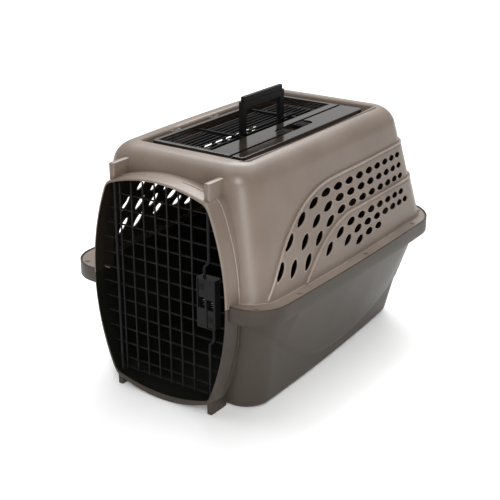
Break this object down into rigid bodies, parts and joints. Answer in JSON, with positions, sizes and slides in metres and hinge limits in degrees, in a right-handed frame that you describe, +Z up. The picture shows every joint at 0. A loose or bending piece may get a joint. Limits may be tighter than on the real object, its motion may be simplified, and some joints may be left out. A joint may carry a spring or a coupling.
{
  "type": "pet carrier",
  "caption": "Two-door pet carrier: vented upper shell on a deep tub, wire front door with a pinch latch, and a hinged roof lid with wire grille and folding handle.",
  "frame": {"origin": "on the floor, below the middle of the carrier's length and width", "axes": "+Z up, +Y from the front door to the rear along the length, +X to the right seen from the front door"},
  "size_m": [0.426, 0.611, 0.47],
  "materials": {
    "upper_plastic": "warm taupe polypropylene with a fine pearl sheen, satin",
    "lower_plastic": "dark brown-grey polypropylene, satin",
    "lid_plastic": "dark brown, high gloss",
    "black_plastic": "black, lightly grained",
    "black_wire": "black powder-coated steel wire",
    "spring_steel": "bright spring wire"
  },
  "bodies": {
    "carrier": {"lower_shell": "lower_plastic", "upper_shell": "upper_plastic", "rim_pegs": "upper_plastic"},
    "front_door": {"door_hinge_rod": "black_wire", "door_uprights": "black_wire", "door_cross_wires": "black_wire", "latch_housing": "black_plastic", "latch_spring_upper": "spring_steel", "latch_spring_lower": "spring_steel"},
    "upper_latch": {"latch_slide_upper": "black_plastic", "latch_rod_upper": "black_wire"},
    "lower_latch": {"latch_slide_lower": "black_plastic", "latch_rod_lower": "black_wire"},
    "top_lid": {"lid_frame": "lid_plastic", "lid_hinge_pins": "black_wire", "lid_long_wires": "black_wire", "lid_cross_wires": "black_wire", "handle_rod": "black_wire"},
    "front_lid_latch": {"lid_tab_front": "black_plastic", "lid_rod_front": "black_wire"},
    "rear_lid_latch": {"lid_tab_rear": "black_plastic", "lid_rod_rear": "black_wire"},
    "carry_handle": {"handle": "black_plastic"}
  },
  "joints": [
    {"name": "front_door_swing", "type": "hinge", "parent": "carrier", "child": "front_door", "pos_m": [-0.093, -0.293, 0.2], "axis": [0, 0, -1], "range_deg": [0, 95]},
    {"name": "upper_latch_pinch", "type": "slide", "parent": "front_door", "child": "upper_latch", "axis": [0, 0, -1], "range_m": [0, 0.012], "stiffness_N_per_m": 150, "springref_m": -0.012, "deforming": ["latch_spring_upper"]},
    {"name": "lower_latch_pinch", "type": "slide", "parent": "front_door", "child": "lower_latch", "axis": [0, 0, 1], "range_m": [0, 0.012], "stiffness_N_per_m": 150, "springref_m": -0.012, "deforming": ["latch_spring_lower"]},
    {"name": "lid_open", "type": "hinge", "parent": "carrier", "child": "top_lid", "pos_m": [-0.097, -0.007, 0.4085], "axis": [0, -1, 0], "range_deg": [0, 92]},
    {"name": "front_lid_latch_pinch", "type": "slide", "parent": "top_lid", "child": "front_lid_latch", "axis": [0, 1, 0], "range_m": [0, 0.008], "stiffness_N_per_m": 150, "springref_m": -0.006},
    {"name": "rear_lid_latch_pinch", "type": "slide", "parent": "top_lid", "child": "rear_lid_latch", "axis": [0, -1, 0], "range_m": [0, 0.008], "stiffness_N_per_m": 150, "springref_m": -0.006},
    {"name": "handle_fold", "type": "hinge", "parent": "top_lid", "child": "carry_handle", "pos_m": [0, -0.008, 0.4071], "axis": [0, 1, 0], "range_deg": [-75, 65]}
  ]
}
